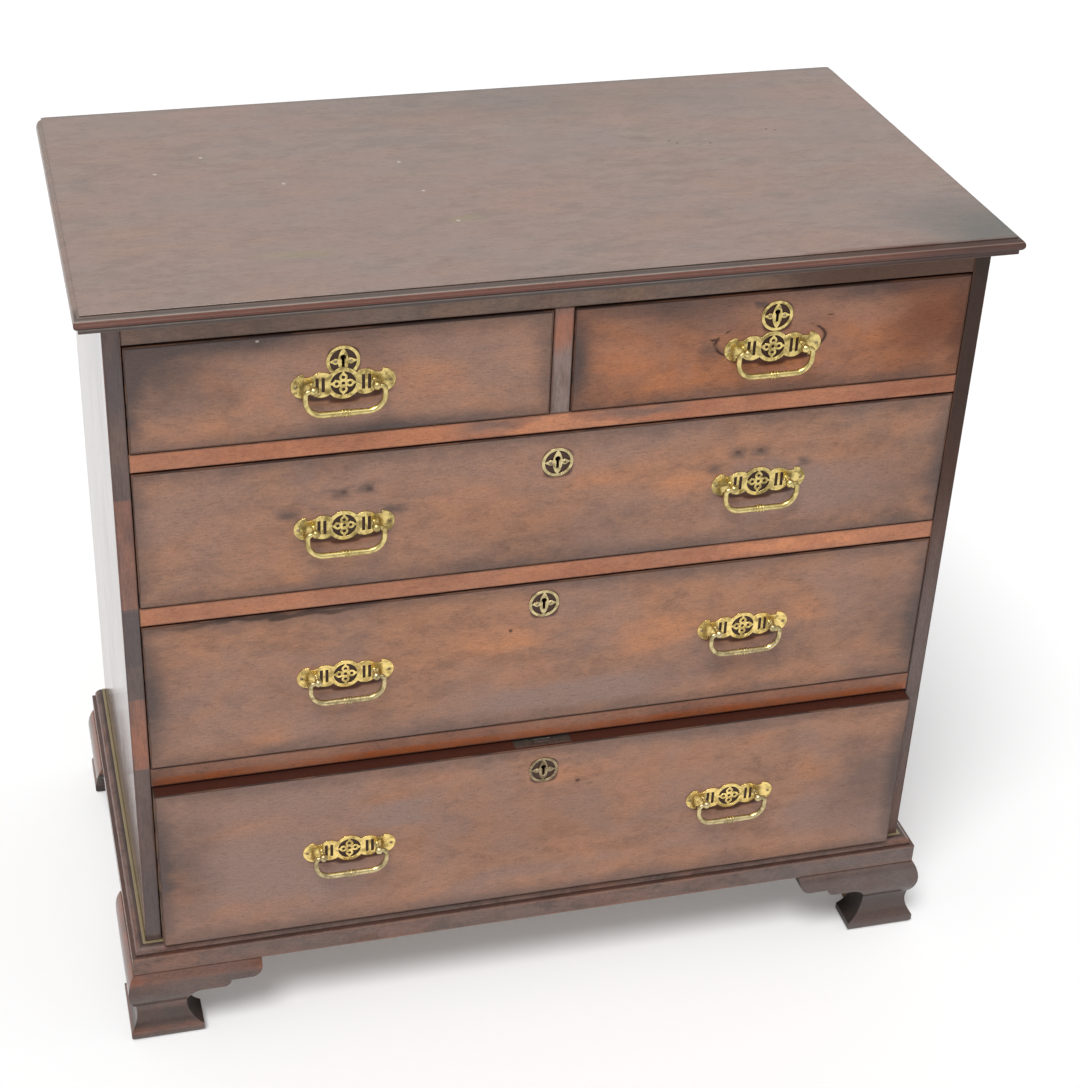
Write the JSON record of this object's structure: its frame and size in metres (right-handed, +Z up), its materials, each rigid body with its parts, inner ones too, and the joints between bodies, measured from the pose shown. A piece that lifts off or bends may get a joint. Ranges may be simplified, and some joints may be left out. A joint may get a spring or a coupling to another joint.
{
  "type": "bachelors chest",
  "caption": "Low wooden chest with two short drawers over long ones, moulded top and base, ogee bracket feet, pierced brass bail handles and locks.",
  "frame": {"origin": "on the floor under the middle of the chest's box, with the bottom drawer ajar as stored", "axes": "+X along the front to the chest's right as one faces it, +Y to the back, +Z up"},
  "size_m": [0.966, 0.5364, 0.921],
  "materials": {
    "mahogany_top": "old dark mahogany, waxed, grain along the length",
    "mahogany_case": "old dark mahogany, waxed, darkened with grime",
    "mahogany_rail": "redder mahogany facing, waxed",
    "mahogany_drawer": "old mahogany, waxed, darker towards the edges",
    "mahogany_base": "old dark mahogany, waxed",
    "pine": "old unfinished pine",
    "oak": "old unfinished oak drawer lining",
    "brass": "pressed and cast brass, dulled",
    "steel": "dark old steel"
  },
  "bodies": {
    "case": {"top_board": "mahogany_top", "side_left": "mahogany_case", "side_right": "mahogany_case", "back_boards": "pine", "bottom_board": "pine", "rail_top": "mahogany_case", "rail_upper": "mahogany_rail", "rail_middle": "mahogany_rail", "rail_lower": "mahogany_rail", "rail_rear_top": "pine", "centre_post": "mahogany_case", "centre_guide": "pine", "drawer_runners": "pine", "drawer_stops": "pine", "base_frame": "mahogany_base", "base_moulding": "mahogany_base", "foot_front_left": "mahogany_base", "foot_front_right": "mahogany_base", "foot_rear_left": "mahogany_base", "foot_rear_right": "mahogany_base", "foot_blocks": "pine"},
    "drawer_1_left": {"drawer_1_left_front": "mahogany_drawer", "drawer_1_left_box": "oak", "drawer_1_left_lock": "steel", "drawer_1_left_plates": "brass", "drawer_1_left_posts": "brass"},
    "drawer_1_left_bolt": {"drawer_1_left_bolt": "steel"},
    "drawer_1_left_bail": {"drawer_1_left_bail": "brass"},
    "drawer_1_right": {"drawer_1_right_front": "mahogany_drawer", "drawer_1_right_box": "oak", "drawer_1_right_lock": "steel", "drawer_1_right_plates": "brass", "drawer_1_right_posts": "brass"},
    "drawer_1_right_bolt": {"drawer_1_right_bolt": "steel"},
    "drawer_1_right_bail": {"drawer_1_right_bail": "brass"},
    "drawer_2": {"drawer_2_front": "mahogany_drawer", "drawer_2_box": "oak", "drawer_2_lock": "steel", "drawer_2_plates": "brass", "drawer_2_posts": "brass"},
    "drawer_2_bolt": {"drawer_2_bolt": "steel"},
    "drawer_2_bail_left": {"drawer_2_bail_left": "brass"},
    "drawer_2_bail_right": {"drawer_2_bail_right": "brass"},
    "drawer_3": {"drawer_3_front": "mahogany_drawer", "drawer_3_box": "oak", "drawer_3_lock": "steel", "drawer_3_plates": "brass", "drawer_3_posts": "brass"},
    "drawer_3_bolt": {"drawer_3_bolt": "steel"},
    "drawer_3_bail_left": {"drawer_3_bail_left": "brass"},
    "drawer_3_bail_right": {"drawer_3_bail_right": "brass"},
    "drawer_4": {"drawer_4_front": "mahogany_drawer", "drawer_4_box": "oak", "drawer_4_lock": "steel", "drawer_4_plates": "brass", "drawer_4_posts": "brass"},
    "drawer_4_bolt": {"drawer_4_bolt": "steel"},
    "drawer_4_bail_left": {"drawer_4_bail_left": "brass"},
    "drawer_4_bail_right": {"drawer_4_bail_right": "brass"}
  },
  "joints": [
    {"name": "drawer_1_left_slide", "type": "slide", "parent": "case", "child": "drawer_1_left", "axis": [0, -1, 0], "range_m": [0, 0.38]},
    {"name": "drawer_1_left_bolt_slide", "type": "slide", "parent": "drawer_1_left", "child": "drawer_1_left_bolt", "axis": [0, 0, 1], "range_m": [0, 0.007]},
    {"name": "drawer_1_left_bail_swing", "type": "hinge", "parent": "drawer_1_left", "child": "drawer_1_left_bail", "pos_m": [-0.22465, -0.24925, 0.8179], "axis": [-1, 0, 0], "range_deg": [-15, 190]},
    {"name": "drawer_1_right_slide", "type": "slide", "parent": "case", "child": "drawer_1_right", "axis": [0, -1, 0], "range_m": [0, 0.38]},
    {"name": "drawer_1_right_bolt_slide", "type": "slide", "parent": "drawer_1_right", "child": "drawer_1_right_bolt", "axis": [0, 0, 1], "range_m": [0, 0.007]},
    {"name": "drawer_1_right_bail_swing", "type": "hinge", "parent": "drawer_1_right", "child": "drawer_1_right_bail", "pos_m": [0.22465, -0.24925, 0.8144], "axis": [-1, 0, 0], "range_deg": [-15, 190]},
    {"name": "drawer_2_slide", "type": "slide", "parent": "case", "child": "drawer_2", "axis": [0, -1, 0], "range_m": [0, 0.38]},
    {"name": "drawer_2_bolt_slide", "type": "slide", "parent": "drawer_2", "child": "drawer_2_bolt", "axis": [0, 0, 1], "range_m": [0, 0.007]},
    {"name": "drawer_2_bail_left_swing", "type": "hinge", "parent": "drawer_2", "child": "drawer_2_bail_left", "pos_m": [-0.225, -0.24925, 0.6534], "axis": [-1, 0, 0], "range_deg": [-15, 190]},
    {"name": "drawer_2_bail_right_swing", "type": "hinge", "parent": "drawer_2", "child": "drawer_2_bail_right", "pos_m": [0.225, -0.24925, 0.6534], "axis": [-1, 0, 0], "range_deg": [-15, 190]},
    {"name": "drawer_3_slide", "type": "slide", "parent": "case", "child": "drawer_3", "axis": [0, -1, 0], "range_m": [0, 0.38]},
    {"name": "drawer_3_bolt_slide", "type": "slide", "parent": "drawer_3", "child": "drawer_3_bolt", "axis": [0, 0, 1], "range_m": [0, 0.007]},
    {"name": "drawer_3_bail_left_swing", "type": "hinge", "parent": "drawer_3", "child": "drawer_3_bail_left", "pos_m": [-0.225, -0.24925, 0.4664], "axis": [-1, 0, 0], "range_deg": [-15, 190]},
    {"name": "drawer_3_bail_right_swing", "type": "hinge", "parent": "drawer_3", "child": "drawer_3_bail_right", "pos_m": [0.225, -0.24925, 0.4664], "axis": [-1, 0, 0], "range_deg": [-15, 190]},
    {"name": "drawer_4_slide", "type": "slide", "parent": "case", "child": "drawer_4", "axis": [0, -1, 0], "range_m": [-0.015, 0.365]},
    {"name": "drawer_4_bolt_slide", "type": "slide", "parent": "drawer_4", "child": "drawer_4_bolt", "axis": [0, 0, 1], "range_m": [0, 0.007]},
    {"name": "drawer_4_bail_left_swing", "type": "hinge", "parent": "drawer_4", "child": "drawer_4_bail_left", "pos_m": [-0.225, -0.26425, 0.2369], "axis": [-1, 0, 0], "range_deg": [-15, 190]},
    {"name": "drawer_4_bail_right_swing", "type": "hinge", "parent": "drawer_4", "child": "drawer_4_bail_right", "pos_m": [0.225, -0.26425, 0.2369], "axis": [-1, 0, 0], "range_deg": [-15, 190]}
  ]
}
